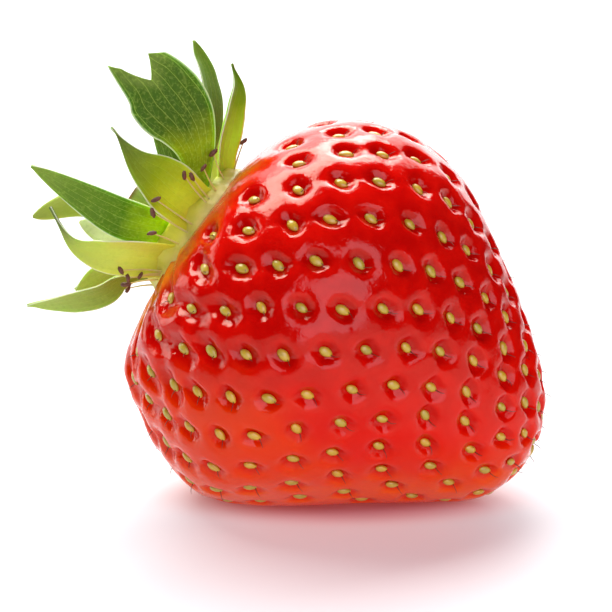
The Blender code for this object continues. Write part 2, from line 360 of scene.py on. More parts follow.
def pitShares(seat):
    # How full the bowl and the cup of this seat are: both are smaller low on the fruit.
    full = float(smoothStep(0, pits["fullHeight"], heightOf(seat)))
    size = (seat["spacing"] / pits["commonSpacing"]) ** 0.5
    bowl, cup = (kept + (1 - kept) * full for kept in (pits["bowl"]["atTable"], pits["cup"]["atTable"]))
    fold = float(smoothStep(0.46, 0.26, seat["amount"]) * smoothStep(0.25, -0.5, math.cos(seat["angle"])))
    return bowl * (1 + pits["deeperInFolds"] * fold), cup, size, fold


def pitDepths(points, finder):
    # How deep the skin is drawn in at each point, and how near it is to a seat, from 0 to 1.
    depth = np.zeros(len(points))
    near = np.zeros(len(points))
    moved = np.zeros((len(points), 3))
    for seat in seats:
        bowlShare, cupShare, size, fold = pitShares(seat)
        found = [index for _, index, _ in finder.find_range(seat["place"], pits["reach"])]
        if not found:
            continue
        offset = points[found] - seat["place"]
        along, across = offset @ seat["tipward"], offset @ seat["side"]
        reach = np.clip(np.hypot(along, across) / pits["reach"], 0, 1)
        pull = pits["drawIn"] * (1 - reach**2) ** 2
        moved[found] -= (along * pull)[:, None] * seat["tipward"]
        moved[found] -= (across * pull)[:, None] * seat["side"]
        longer = 1 + pits["stretch"] * fold
        along, across = along * (1 - pull), across * (1 - pull)
        ragged = (1 + pits["raggedness"] * roughNoise(points[found], 0.9, 11)) / size
        bowlRing, cupRing = (
            np.hypot(along / pit["halfLength"] / longer, across / pit["halfWidth"]) * ragged
            for pit in (pits["bowl"], pits["cup"])
        )
        inBowl = np.clip(1 - bowlRing**2, 0, 1)
        down = np.clip((1 - cupRing) / (1 - pits["cup"]["floor"]), 0, 1)
        depth[found] += pits["bowl"]["depth"] * bowlShare * inBowl**1.5
        depth[found] += pits["cup"]["depth"] * cupShare * down * (2 - down)
        near[found] = np.maximum(near[found], np.clip(1 - cupRing**2, 0, 1))
    return depth, near, moved


def makeFlesh():
    mesh, ways = makeBall(berry["cuts"])
    amounts = np.arccos(np.clip(ways[:, 2], -1, 1)) / math.pi
    angles = np.arctan2(-ways[:, 1], ways[:, 0])
    points = skinPoints(amounts, angles)
    writePoints(mesh, points)
    shape = bmesh.new()
    shape.from_mesh(mesh)
    bmesh.ops.recalc_face_normals(shape, faces=shape.faces)
    shape.to_mesh(mesh)
    shape.free()
    normals = np.array([vert.normal for vert in mesh.vertices])
    finder = KDTree(len(points))
    for index, point in enumerate(points):
        finder.insert(point, index)
    finder.balance()
    depth, near, moved = pitDepths(points, finder)
    smooth = toWorld(points) / mm
    swell = roughNoise(points, 0.16, 1) + 0.35 * roughNoise(points, 0.45, 2)
    swell *= berry["undulation"]
    inNeck = smoothStep(*neck["starts"], amounts) * smoothStep(*neck["ends"], amounts)
    ribs = np.sin(angles * neck["ribs"] + neck["wander"] * roughNoise(points, 0.2, 3))
    ribs *= neck["height"] * inNeck * smoothStep(0.0, -0.8, np.cos(angles))
    points = points + moved + normals * (swell + ribs - depth)[:, None]
    placed = toWorld(points)
    placed[:, 2] = np.maximum(placed[:, 2], 0)
    writePoints(mesh, placed)
    mesh.shade_smooth()
    addNumbers(mesh, "nearSeed", near)
    addTints(mesh, smooth, amounts, angles, roughNoise(points, 0.35, 4))
    return mesh


def addTints(mesh, places, amounts, angles, blur):
    # How much of each tint of the skin there is at each point, from 0 to 1. Besides the unripe colour near
    # the calyx, these are painted light: the lower part is painted brighter, paler and more orange, as if lit
    # by light from the table.
    lowerSide = smoothStep(0.1, -0.8, np.cos(angles))
    fromCalyx = amounts + blur * 0.01 - skin["unripeLower"] * lowerSide
    addNumbers(mesh, "unripe", smoothStep(*skin["unripePart"], fromCalyx))
    height = places[:, 2]
    paleTop = skin["paleTop"] - skin["paleDrop"] * smoothStep(-5, 8, places[:, 0])
    addNumbers(mesh, "paintedBounceLight", smoothStep(*skin["bounceLightHeights"], height + blur * 2))
    addNumbers(mesh, "foot", smoothStep(*skin["footHeights"], height + blur * 1.5))
    addNumbers(mesh, "paintedTableLight", smoothStep(*skin["paleHeights"], height - paleTop + blur * 1.5))


skin = {
    "darkRed": (0.51, 0.002, 0.001),
    "fullRed": (0.62, 0.004, 0.0015),
    # The next three colours are painted light: the lower part's red as if lit by light from the table.
    "bounceLitRed": (0.74, 0.006, 0.001),
    "pale": (0.74, 0.04, 0.001),
    "tableLitOrange": (0.88, 0.1, 0.001),
    "unripe": (0.95, 0.23, 0.006),
    "deeper": (0.93, 0.25, 0.3),  # painted shade: the colour in the pits is multiplied by this
    "shares": {"pale": 0.85, "tableLitOrange": 0.75, "deeper": 0.8},
    # Heights in mm between which each tint of painted table light sets in. The pale one is lower towards the
    # tip.
    "bounceLightHeights": (22, 5),
    "footHeights": (6.5, 1.5),
    "paleHeights": (2.5, -4.5),
    "paleTop": 15.5,
    "paleDrop": 8.5,
    "unripePart": (0.151, 0.124),  # of the way from calyx to tip
    "unripeLower": 0.06,
    "roughness": (0.045, 0.09),
    "finish": {
        "IOR": 1.4, "Specular Tint": (1.0, 0.84, 0.6, 1.0), "Subsurface Weight": 0.45,
        "Subsurface Radius": (1.0, 0.18, 0.08), "Subsurface Scale": 0.0022,
    },
}


def skinMaterial():
    made, tree, shader = newMaterial("ripeSkin")
    place = objectPlace(tree)
    shares = skin["shares"]
    mottle = remap(tree, noiseNode(tree, place, 2.2, 3), 0.35, 0.7)
    colour = mixColour(tree, mottle, skin["darkRed"], skin["fullRed"])
    # Painted light from the table: the lower part is painted brighter, then paler, then orange near the
    # table.
    colour = mixColour(tree, attributeNode(tree, "paintedBounceLight"), colour, skin["bounceLitRed"])
    low = mathNode(tree, "MULTIPLY", attributeNode(tree, "paintedTableLight"), shares["pale"])
    colour = mixColour(tree, low, colour, skin["pale"])
    foot = mathNode(tree, "MULTIPLY", attributeNode(tree, "foot"), shares["tableLitOrange"])
    colour = mixColour(tree, foot, colour, skin["tableLitOrange"])
    # Painted shade: the pits round each achene are painted darker.
    paintedPitShade = remap(tree, attributeNode(tree, "nearSeed"), 0.0, 0.5, 0.0, shares["deeper"])
    colour = mixColour(tree, paintedPitShade, colour, skin["deeper"], "MULTIPLY")
    streaks = remap(tree, noiseNode(tree, place, 0.9, 4), 0.3, 0.7, 0.75, 1.0)
    unripe = mathNode(tree, "MULTIPLY", attributeNode(tree, "unripe"), streaks)
    colour = mixColour(tree, unripe, colour, skin["unripe"])
    tree.links.new(colour, shader.inputs["Base Color"])
    roughness = remap(tree, noiseNode(tree, place, 1.2, 3), 0.3, 0.7, *skin["roughness"])
    tree.links.new(roughness, shader.inputs["Roughness"])
    fine, wide = noiseNode(tree, place, 0.26, 3), noiseNode(tree, place, 0.9, 2)
    addBump(tree, shader, mathNode(tree, "MULTIPLY_ADD", fine, 0.45, wide), 0.7, 0.07)
    setFinish(shader, skin["finish"])
    return made


flesh = finishPiece("fleshSkin", makeFlesh(), skinMaterial(), ["flesh"])
print("flesh:", len(flesh.data.polygons), "faces")


achene = {
    "length": 1.4, "width": 0.92, "thickness": 0.64, "sunk": 0.12,
    "smallerAtTip": 0.88,
    "narrowEnd": 0.2,
    "colours": ((0.60, 0.40, 0.024), (0.45, 0.38, 0.028)),
    "spots": (0.28, 0.19, 0.04),
    "finish": {"Roughness": 0.34, "Coat Weight": 0.5, "Coat Roughness": 0.15},
}
styleHair = {
    "clearOfTable": 2.4,  # lower than this there are none
    "length": 1.0, "thickness": 0.09, "sides": 4, "joints": 3,
    "rootAt": 0.36,  # of the achene's length, from its middle
    "rise": 0.12,
    "leanTipward": 0.55, "leanOut": (0.75, 0.55), "sway": 0.9,
    "colours": ((0.06, 0.015, 0.006), (0.16, 0.05, 0.015)),
    "finish": {"Roughness": 0.5},
}


def stampCopies(template, name, placeCopy, chosen):
    # One mesh that holds a copy of the template for each seat, each vertex placed by placeCopy.
    shape = bmesh.new()
    tints = []
    for seat in chosen:
        first = len(shape.verts)
        shape.from_mesh(template)
        shape.verts.ensure_lookup_table()
        for vert in shape.verts[first:]:
            tints.append(seat["tint"])
            vert.co = placeCopy(seat, vert.co.copy())
    mesh = meshFrom(shape, name)
    placed = toWorld(readPoints(mesh))
    placed[:, 2] = np.maximum(placed[:, 2], 0.03 * mm)
    writePoints(mesh, placed)
    addNumbers(mesh, "tint", np.array(tints))
    return mesh


def seatFacts(seat):
    # The achene's size, and its middle, which lies a little above the bottom of its pit.
    bowlShare, cupShare, _, _ = pitShares(seat)
    down = pits["bowl"]["depth"] * bowlShare + pits["cup"]["depth"] * cupShare - achene["sunk"]
    size = seat["size"] * (1 - (1 - achene["smallerAtTip"]) * seat["amount"])
    return size, seat["place"] - seat["out"] * down


def acheneTemplate():
    shape = bmesh.new()
    bmesh.ops.create_uvsphere(shape, u_segments=8, v_segments=6, radius=1)
    for vert in shape.verts:
        narrow = 1 - achene["narrowEnd"] * smoothStep(0.0, 1.0, np.array(vert.co.z))
        vert.co.x *= narrow
        vert.co.y *= narrow
    return meshFrom(shape, "acheneTemplate")


def placeAchene(seat, point):
    size, centre = seatFacts(seat)
    return Vector(
        centre
        + seat["tipward"] * point.z * achene["length"] / 2 * size
        + seat["side"] * point.x * achene["width"] / 2 * size
        + seat["out"] * point.y * achene["thickness"] / 2 * size
    )


def placeHair(seat, point):
    size, centre = seatFacts(seat)
    along = point.z
    root = centre + seat["out"] * styleHair["rise"]
    root = root + seat["tipward"] * achene["length"] * styleHair["rootAt"] * size
    least, more = styleHair["leanOut"]
    rise = seat["out"] * (least + more * seat["tint"]) * along * (1.15 - 0.45 * along)
    reach = seat["tipward"] * along * styleHair["leanTipward"] + rise
    swing = seat["side"] * (seat["tint"] * 7 % 1 - 0.5) * styleHair["sway"] * along**2
    thickness = seat["side"] * point.x + seat["tipward"] * point.y
    return Vector(root + (reach + swing) * styleHair["length"] + thickness)


def acheneMaterial():
    made, tree, shader = newMaterial("acheneHusk")
    place = objectPlace(tree)
    colour = mixColour(tree, attributeNode(tree, "tint"), *achene["colours"])
    spots = remap(tree, noiseNode(tree, place, 0.7, 3), 0.55, 0.75, 0.0, 0.5)
    colour = mixColour(tree, spots, colour, achene["spots"])
    tree.links.new(colour, shader.inputs["Base Color"])
    addBump(tree, shader, noiseNode(tree, place, 0.18, 2), 0.3, 0.05)
    setFinish(shader, achene["finish"])
    return made


def hairMaterial():
    made, tree, shader = newMaterial("dryStyle")
    colour = mixColour(tree, attributeNode(tree, "tint"), *styleHair["colours"])
    tree.links.new(colour, shader.inputs["Base Color"])
    setFinish(shader, styleHair["finish"])
    return made


acheneMesh = stampCopies(acheneTemplate(), "achenes", placeAchene, seats)
finishPiece("achenes", acheneMesh, acheneMaterial())
clearSeats = [seat for seat in seats if heightOf(seat) > styleHair["clearOfTable"]]
half = styleHair["thickness"] / 2
hair = rodTemplate("hairTemplate", styleHair["sides"], half, half * 0.5, styleHair["joints"])
hairMesh = stampCopies(hair, "styleHairs", placeHair, clearSeats)
finishPiece("styleHairs", hairMesh, hairMaterial())
print("achenes:", len(seats), "style hairs:", len(clearSeats))


blade = {
    "across": 36, "along": 60,
    "thickness": 0.26, "thinEdge": 0.35, "smallestHalf": 0.08,
    "root": 0.12,  # how much of its length each blade goes on below its root, into the collar
    "rootDrop": 1.6, "rootWider": 1.2,
    "groove": 0.05, "waviness": 0.1, "edgeWave": 0.12,
    "lift": (1.03, 1.06, 0.7),  # every leaf's colour is multiplied by this
    "veinColour": (0.64, 0.86, 0.12),
    "cellColour": (0.09, 0.22, 0.004),
    "blushColour": (0.55, 0.12, 0.03),
    "rimColour": (0.70, 0.76, 0.50),
    "finish": {
        "Roughness": 0.5, "Specular IOR Level": 0.1, "Subsurface Weight": 0.35,
        "Subsurface Radius": (0.6, 1.0, 0.25), "Subsurface Scale": 0.0006,
    },
}
# Each leaf's midline from its root, the way its outer face looks at the root and at the tip, its
# outline, how much its sides curl up, and its colours at shares of the way from root to tip.
leaves = {
    "sepal_1": {
        "spine": [
            (5.4, -1.1, 0.7), (7.8, -1.9, 1.95), (10.9, -2.4, 3.15), (13.2, -2.4, 3.95), (14.7, -2.2, 5.5),
        ],
        "facing": [(0.3, -0.3, -0.9), (0.5, -0.5, -0.7)],
        "width": 4.4, "base": 0.85, "widest": 0.4, "taper": 2.0, "cup": 0.3,
        "colours": [(0.0, (0.52, 0.62, 0.06)), (0.3, (0.42, 0.72, 0.05)), (0.6, (0.18, 0.38, 0.008)),
                    (1.0, (0.07, 0.13, 0.006))],
        "veins": 0.25, "blush": 0.5,
    },
    "sepal_2": {
        "spine": [(1.5, -5.3, 0.5), (1.7, -6.2, 2.7), (2.0, -7.0, 4.9), (2.3, -8.0, 7.6), (3.6, -9.2, 11.0)],
        "facing": [(0.3, -0.95, -0.3), (0.1, -0.9, -0.4)],
        "width": 5.25, "base": 0.88, "widest": 0.35, "taper": 1.8, "cup": 0.15,
        "colours": [(0.0, (0.56, 0.56, 0.04)), (0.3, (0.54, 0.60, 0.02)), (0.55, (0.27, 0.36, 0.003)),
                    (0.8, (0.15, 0.22, 0.02)), (1.0, (0.10, 0.16, 0.035))],
        "veins": 0.3,
    },
    "sepal_3": {
        "spine": [
            (-3.45, -4.4, 0.5), (-5.0, -5.2, 3.0), (-6.6, -5.9, 6.0), (-7.1, -6.5, 8.6), (-5.5, -7.0, 11.9),
        ],
        "facing": [(-0.6, -0.75, -0.3), (-0.3, -0.9, -0.2)],
        "width": 4.2, "base": 0.95, "widest": 0.22, "taper": 2.2, "cup": 0.25,
        "colours": [(0.0, (0.58, 0.58, 0.05)), (0.35, (0.58, 0.60, 0.12)), (0.7, (0.40, 0.48, 0.11)),
                    (0.85, (0.24, 0.31, 0.10)), (1.0, (0.10, 0.14, 0.05))],
        "veins": 0.25,
    },
    "sepal_4": {
        "spine": [
            (-5.4, -0.5, 0.6), (-6.1, -0.8, 2.1), (-7.6, -1.1, 3.3),
            (-9.6, -1.3, 4.2), (-11.9, -1.6, 6.2), (-14.4, -2.0, 9.1),
        ],
        "facing": [(-0.7, -0.2, -0.7), (-0.6, -0.7, -0.5)],
        "width": 3.6, "base": 0.6, "widest": 0.6, "taper": 0.9, "cup": 0.3,
        "colours": [(0.0, (0.22, 0.27, 0.02)), (0.3, (0.22, 0.28, 0.03)), (0.65, (0.26, 0.36, 0.08)),
                    (1.0, (0.38, 0.48, 0.16))],
        "veins": 0.5,
    },
    "sepal_5": {
        "spine": [(-0.8, 5.5, 0.5), (-2.0, 6.8, 4.0), (-2.7, 8.0, 7.8), (-3.9, 8.8, 11.2), (-7.5, 9.3, 14.2)],
        "facing": [(-0.1, 0.9, -0.3), (-0.6, 0.7, 0.3)],
        "width": 3.6, "base": 0.95, "widest": 0.45, "taper": 0.6, "cup": 0.2,
        "colours": [(0.0, (0.46, 0.46, 0.07)), (0.5, (0.42, 0.48, 0.07)), (1.0, (0.34, 0.38, 0.10))],
        "veins": 0.25,
    },
    "sepal_6": {
        "spine": [(4.15, 3.75, 0.5), (6.1, 5.6, 2.4), (8.1, 7.4, 5.0), (9.4, 8.8, 8.2)],
        "facing": [(0.6, 0.6, -0.6), (0.6, 0.6, -0.5)],
        "width": 4.4, "base": 0.95, "widest": 0.35, "taper": 1.2, "cup": 0.2,
        "colours": [(0.0, (0.48, 0.42, 0.05)), (0.3, (0.42, 0.44, 0.02)), (0.62, (0.25, 0.34, 0.008)),
                    (1.0, (0.10, 0.17, 0.03))],
        "veins": 0.3,
    },
    "bract_1": {
        "spine": [
            (2.9, -3.0, 1.7), (5.8, -4.2, 3.5), (7.6, -5.0, 5.8),
            (8.5, -5.6, 8.5), (9.2, -6.0, 10.6), (9.7, -6.8, 14.5),
        ],
        "facing": [(0.3, -0.9, -0.3), (0.1, -1.0, 0.0)],
        "width": 7.1, "base": 0.3, "widest": 0.58, "taper": 1.0, "end": 0.46, "cup": 0.08,
        # How far the tip reaches at places across the blade.
        "lobes": [(-1.0, 1.0), (-0.5, 0.945), (0.0, 0.8), (0.33, 0.85), (0.67, 0.895), (1.0, 0.84)],
        "colours": [(0.0, (0.16, 0.22, 0.003)), (0.15, (0.19, 0.27, 0.002)), (0.28, (0.27, 0.37, 0.002)),
                    (0.5, (0.058, 0.133, 0.003)), (0.85, (0.058, 0.138, 0.006)), (1.0, (0.18, 0.27, 0.05))],
        "veins": 1.0, "veinCount": 7,
    },
    "bract_2": {
        "spine": [
            (-0.8, -4.1, 1.7), (-1.9, -5.0, 3.3), (-2.8, -6.2, 6.0), (-3.1, -7.7, 9.6), (-3.3, -9.6, 15.1),
        ],
        "facing": [(-0.2, -0.95, -0.1), (0.0, -1.0, 0.1)],
        "width": 3.8, "base": 0.65, "widest": 0.45, "taper": 0.8, "cup": 0.12,
        "colours": [(0.0, (0.62, 0.78, 0.003)), (0.22, (0.42, 0.60, 0.002)), (0.5, (0.080, 0.195, 0.003)),
                    (0.8, (0.125, 0.235, 0.025)), (1.0, (0.22, 0.32, 0.06))],
        "veins": 0.8, "veinCount": 5,
    },
    "bract_3": {
        "spine": [(-3.9, 1.3, 1.7), (-6.1, 1.7, 3.9), (-8.3, 2.1, 5.3), (-10.9, 2.4, 6.5)],
        "facing": [(-0.6, -0.4, -0.7), (-0.5, -0.7, -0.5)],
        "width": 3.2, "base": 0.7, "widest": 0.5, "taper": 0.9, "cup": 0.15,
        "colours": [(0.0, (0.36, 0.40, 0.10)), (0.6, (0.42, 0.46, 0.14)), (1.0, (0.40, 0.46, 0.15))],
        "veins": 0.5,
    },
    "bract_4": {
        "spine": [(-2.3, 3.4, 1.7), (-3.7, 4.8, 4.3), (-4.7, 6.1, 7.0), (-5.4, 7.1, 10.0)],
        "facing": [(-0.5, 0.8, -0.1), (-0.3, 0.9, 0.0)],
        "width": 3.2, "base": 0.7, "widest": 0.5, "taper": 0.7, "cup": 0.15,
        "colours": [(0.0, (0.56, 0.60, 0.34)), (0.5, (0.62, 0.64, 0.46)), (1.0, (0.56, 0.60, 0.42))],
        "veins": 0.4,
    },
    "bract_5": {
        "spine": [(1.6, 3.8, 1.7), (3.5, 5.2, 4.2), (5.4, 6.5, 7.0), (7.0, 7.6, 10.2)],
        "facing": [(0.4, 0.9, -0.2), (0.4, 0.9, -0.1)],
        "width": 3.4, "base": 0.7, "widest": 0.45, "taper": 0.9, "cup": 0.15,
        "colours": [(0.0, (0.30, 0.42, 0.004)), (0.22, (0.22, 0.32, 0.004)), (0.5, (0.085, 0.15, 0.012)),
                    (1.0, (0.13, 0.21, 0.03))],
        "veins": 0.8,
    },
    "bract_6": {
        "spine": [(3.9, 1.2, 1.7), (7.0, 1.9, 3.4), (10.6, 2.7, 5.2), (13.1, 3.3, 7.6), (14.8, 3.7, 10.1)],
        "facing": [(0.6, -0.2, -0.7), (0.6, -0.6, -0.5)],
        "width": 3.6, "base": 0.65, "widest": 0.5, "taper": 0.9, "cup": 0.15,
        "colours": [(0.0, (0.20, 0.28, 0.07)), (0.4, (0.12, 0.235, 0.05)), (0.75, (0.12, 0.235, 0.03)),
                    (1.0, (0.16, 0.25, 0.03))],
        "veins": 0.5,
    },
}


def leafHalfWidths(leaf, along):
    rising = leaf["base"] + (1 - leaf["base"]) * smoothStep(0, leaf["widest"], along)
    past = np.clip((along - leaf["widest"]) / (1 - leaf["widest"]), 0, 1)
    end = leaf.get("end", 0.0)
    falling = end + (1 - end) * (1 - past**2) ** leaf["taper"]
    share = np.where(along < leaf["widest"], rising, falling)
    return np.maximum(leaf["width"] / 2 * share, blade["smallestHalf"])


def veinLines(side, count):
    # How near each place across the blade is to one of its long veins, from 0 to 1.
    spot = (side + 1) / 2 * count
    return 1 - np.abs(spot - np.floor(spot) - 0.5) * 2


def leafPoints(leaf, side, along):
    # Places on the blade; along runs a little below 0, where the blade joins the collar.
    if "lobes" in leaf:
        sides, reaches = zip(*leaf["lobes"])
        along = np.where(along > 0, along * np.interp(side, sides, reaches), along)
    step = 0.01
    inside = np.clip(along, 0, 1)
    centre = curveThrough(leaf["spine"], inside)
    ahead = curveThrough(leaf["spine"], np.minimum(inside + step, 1))
    behind = curveThrough(leaf["spine"], np.maximum(inside - step, 0))
    tangent = unit(ahead - behind)
    length = np.linalg.norm(np.diff(np.array(leaf["spine"]), axis=0), axis=1).sum()
    below = np.minimum(along, 0)[:, None]
    centre = centre + tangent * below * length
    atRoot, atTip = (np.array(way) for way in leaf["facing"])
    facing = atRoot * (1 - inside[:, None]) + atTip * inside[:, None]
    across = unit(np.cross(tangent, facing))
    outward = unit(np.cross(across, tangent))
    half = leafHalfWidths(leaf, inside) * (1 - blade["rootWider"] * below[:, 0])
    points = centre + across * (side * half)[:, None]
    lift = leaf["cup"] * half * side**2
    grooves = veinLines(side, leaf.get("veinCount", 5)) ** 4
    lift -= blade["groove"] * grooves * smoothStep(0.0, 0.2, inside) * (1 - inside)
    lift += blade["waviness"] * roughNoise(points, 0.55, 6) * smoothStep(0.1, 0.5, inside)
    wave = np.sin(inside * 9 + np.sign(side) * 1.3 + leaf["width"]) * np.abs(side) ** 3
    wave *= blade["edgeWave"]
    points = points + outward * (lift + wave * smoothStep(0.15, 0.4, inside))[:, None]
    points[:, 2] += below[:, 0] / blade["root"] * blade["rootDrop"]
    return points


def makeLeaf(name, leaf):
    shape = bmesh.new()
    shape.loops.layers.uv.new("bladeMap")
    bmesh.ops.create_grid(shape, x_segments=blade["across"], y_segments=blade["along"], size=1, calc_uvs=True)
    mesh = meshFrom(shape, name)
    flat = readPoints(mesh)
    side = flat[:, 0]
    along = (flat[:, 1] + 1) / 2 * (1 + blade["root"]) - blade["root"]
    writePoints(mesh, toWorld(leafPoints(leaf, side, along)))
    piece = finishPiece(name + "_leaf", mesh, leafMaterial(name, leaf), [name])
    group = piece.vertex_groups.new(name="bladeThickness")
    share = 1 - smoothStep(0.72, 1.0, np.abs(side))
    for index, value in enumerate(share):
        group.add([index], float(value), "REPLACE")
    thickness = piece.modifiers.new("thickness", "SOLIDIFY")
    thickness.thickness = blade["thickness"] * mm
    thickness.offset = 0
    thickness.vertex_group = group.name
    thickness.thickness_vertex_group = blade["thinEdge"]


def leafMaterial(name, leaf):
    made, tree, shader = newMaterial(name + "Blade")
    place = objectPlace(tree)
    chart = addNode(tree, "ShaderNodeUVMap", uv_map="bladeMap").outputs["UV"]
    split = addNode(tree, "ShaderNodeSeparateXYZ", {"Vector": chart})
    u, v = split.outputs["X"], split.outputs["Y"]
    wavyV = mathNode(tree, "SUBTRACT", v, 0.08)
    wavyV = mathNode(tree, "MULTIPLY_ADD", noiseNode(tree, place, 1.6, 3), 0.16, wavyV)
    ramp = addNode(tree, "ShaderNodeValToRGB", {"Fac": wavyV})
    root = blade["root"] / (1 + blade["root"])
    stops = ramp.color_ramp.elements
    for index, (spot, shade) in enumerate(leaf["colours"]):
        stop = stops[index] if index < 2 else stops.new(1.0)
        stop.position = root + spot * (1 - root)
        stop.color = (*shade, 1.0)
    colour = mixColour(tree, 1.0, ramp.outputs["Color"], blade["lift"], "MULTIPLY")
    # Long veins run from root to tip, with a net of fine cross veins between them.
    count = leaf.get("veinCount", 5)
    bent = mathNode(tree, "SUBTRACT", u, 0.03)
    bent = mathNode(tree, "MULTIPLY_ADD", noiseNode(tree, place, 2.5, 1), 0.06, bent)
    spot = mathNode(tree, "FRACT", mathNode(tree, "MULTIPLY", bent, float(count)))
    away = mathNode(tree, "ABSOLUTE", mathNode(tree, "SUBTRACT", spot, 0.5))
    longVeins = remap(tree, away, 0.0, 0.05, 1.0, 0.0)
    stretched = addNode(tree, "ShaderNodeMapping", {"Vector": chart, "Scale": (count * 1.3, 5.5, 1.0)})
    net = addNode(tree, "ShaderNodeTexVoronoi", {"Vector": stretched.outputs["Vector"], "Scale": 1.0},
                  feature="DISTANCE_TO_EDGE")
    crossVeins = remap(tree, net.outputs["Distance"], 0.0, 0.03, 0.3, 0.0)
    veins = mathNode(tree, "MAXIMUM", longVeins, crossVeins)
    veins = mathNode(tree, "MULTIPLY", veins, remap(tree, v, 0.1, 0.35))
    paler = mixColour(tree, 0.5, colour, blade["veinColour"])
    colour = mixColour(tree, mathNode(tree, "MULTIPLY", veins, leaf["veins"] * 0.9), colour, paler)
    cells = noiseNode(tree, place, 0.35, 2)
    inCells = remap(tree, cells, 0.45, 0.75, 0.0, 0.35 * leaf["veins"])
    colour = mixColour(tree, inCells, colour, blade["cellColour"])
    specks = remap(tree, noiseNode(tree, place, 0.26, 2), 0.48, 0.75, 0.0, 0.36 * leaf["veins"])
    colour = mixColour(tree, specks, colour, paler)
    edge = mathNode(tree, "ABSOLUTE", mathNode(tree, "MULTIPLY_ADD", u, 2.0, -1.0))
    if "blush" in leaf:
        oneSide = remap(tree, u, 0.93, 1.0, 0.0, leaf["blush"])
        colour = mixColour(tree, oneSide, colour, blade["blushColour"])
    rim = mathNode(tree, "MULTIPLY", remap(tree, edge, 0.93, 1.0, 0.0, 0.75), remap(tree, v, 0.2, 0.4))
    colour = mixColour(tree, rim, colour, blade["rimColour"])
    tree.links.new(colour, shader.inputs["Base Color"])
    addBump(tree, shader, mathNode(tree, "MULTIPLY_ADD", veins, -0.6, cells), 0.35, 0.12)
    setFinish(shader, blade["finish"])
    return made


for name, leaf in leaves.items():
    makeLeaf(name, leaf)
print("leaves:", len(leaves))


# The collar is the fused leaf bases that lie on the flesh.
collar = {
    "profile": [
        (0.0, 1.5), (2.0, 1.45), (3.8, 1.5), (5.0, 1.9), (5.6, 2.1), (5.95, 1.9), (6.15, 1.3), (6.4, 0.6),
        (6.7, 0.05), (6.95, -0.4), (6.9, -0.85), (6.0, -1.1), (3.0, -1.2), (0.0, -1.2),
    ],
    "rings": 44,
    "steps": 144,
    "lobes": 0.10, "creases": 0.05, "unevenness": 0.22,
    "pressed": 0.75,  # how far the rim is pressed down on the upper side
    "dome": 0.7, "ridges": (0.13, 0.05),
    "fleshSide": ((0.66, 0.68, 0.05), (0.76, 0.68, 0.16)),
    "patches": (0.54, 0.60, 0.04),
    "stemSide": ((0.20, 0.31, 0.02), (0.36, 0.44, 0.06)),
    "finish": {
        "Roughness": 0.45, "Subsurface Weight": 0.4, "Subsurface Radius": (1.0, 0.9, 0.35),
        "Subsurface Scale": 0.001,
    },
}


def makeCollar():
    shape = bmesh.new()
    line = curveThrough(collar["profile"], np.linspace(0, 1, collar["rings"] + 1))
    corners = [shape.verts.new((max(radius, 0.0), 0, height)) for radius, height in line]
    edges = [shape.edges.new(pair) for pair in zip(corners, corners[1:])]
    bmesh.ops.spin(shape, geom=corners + edges, cent=(0, 0, 0), axis=(0, 0, 1), angle=math.tau,
                   steps=collar["steps"], use_merge=True)
    bmesh.ops.remove_doubles(shape, verts=shape.verts, dist=0.001)
    bmesh.ops.recalc_face_normals(shape, faces=shape.faces)
    mesh = meshFrom(shape, "collar")
    points = readPoints(mesh)
    radius = np.hypot(points[:, 0], points[:, 1])
    angles = np.arctan2(-points[:, 1], points[:, 0])
    outer = smoothStep(4.0, 6.4, radius)
    swell = collar["lobes"] * np.sin(angles * 6 + 0.5) + collar["creases"] * np.sin(angles * 34)
    swell += collar["unevenness"] * roughNoise(points, 0.5, 8)
    points[:, :2] *= (1 + outer * swell / np.maximum(radius, 1))[:, None]
    points[:, 2] += outer * 0.12 * roughNoise(points, 0.9, 9)
    raised = np.maximum(points[:, 2] - 0.6, 0) * smoothStep(3.0, 4.4, radius)
    points[:, 2] -= raised * collar["pressed"] * smoothStep(-0.1, 0.5, np.cos(angles))
    inner = smoothStep(5.2, 1.5, radius) * (points[:, 2] > 0)
    broad, fine = collar["ridges"]
    ridges = broad * np.sin(angles * 12 + 0.6) + fine * np.sin(angles * 31)
    points[:, 2] += inner * (collar["dome"] + ridges * smoothStep(0.6, 2.2, radius))
    writePoints(mesh, toWorld(points))
    addNumbers(mesh, "outward", smoothStep(6.2, 6.9, radius))
    addNumbers(mesh, "inward", smoothStep(5.9, 4.0, radius) * (points[:, 2] > 0))
    return mesh


def collarMaterial():
    made, tree, shader = newMaterial("paleCollar")
    place = objectPlace(tree)
    colour = mixColour(tree, attributeNode(tree, "outward"), *collar["fleshSide"])
    patches = remap(tree, noiseNode(tree, place, 0.9, 3), 0.4, 0.7, 0.0, 0.5)
    colour = mixColour(tree, patches, colour, collar["patches"])
    mottle = remap(tree, noiseNode(tree, place, 0.7, 3), 0.35, 0.65)
    green = mixColour(tree, mottle, *collar["stemSide"])
    colour = mixColour(tree, attributeNode(tree, "inward"), colour, green)
    tree.links.new(colour, shader.inputs["Base Color"])
    addBump(tree, shader, noiseNode(tree, place, 0.3, 3), 0.3, 0.1)
    setFinish(shader, collar["finish"])
    return made


finishPiece("collar", makeCollar(), collarMaterial(), ["calyx_cup"])
print("collar done")


stub = {
    "line": [(0.0, 0.0, 1.2), (-0.1, 0.0, 3.4), (-0.35, 0.1, 5.2), (-0.5, 0.1, 6.8)],
    "radius": 0.95,
    "flare": 0.5,
    "sides": 24,
    "joints": 24,
    "ridges": (7, 0.035),  # how many, and their height as a share of the radius
    "colours": ((0.30, 0.40, 0.06), (0.42, 0.50, 0.14)),
    "dryEnd": (0.22, 0.15, 0.05),
    "finish": {"Roughness": 0.5, "Subsurface Weight": 0.2, "Subsurface Scale": 0.0008},
}


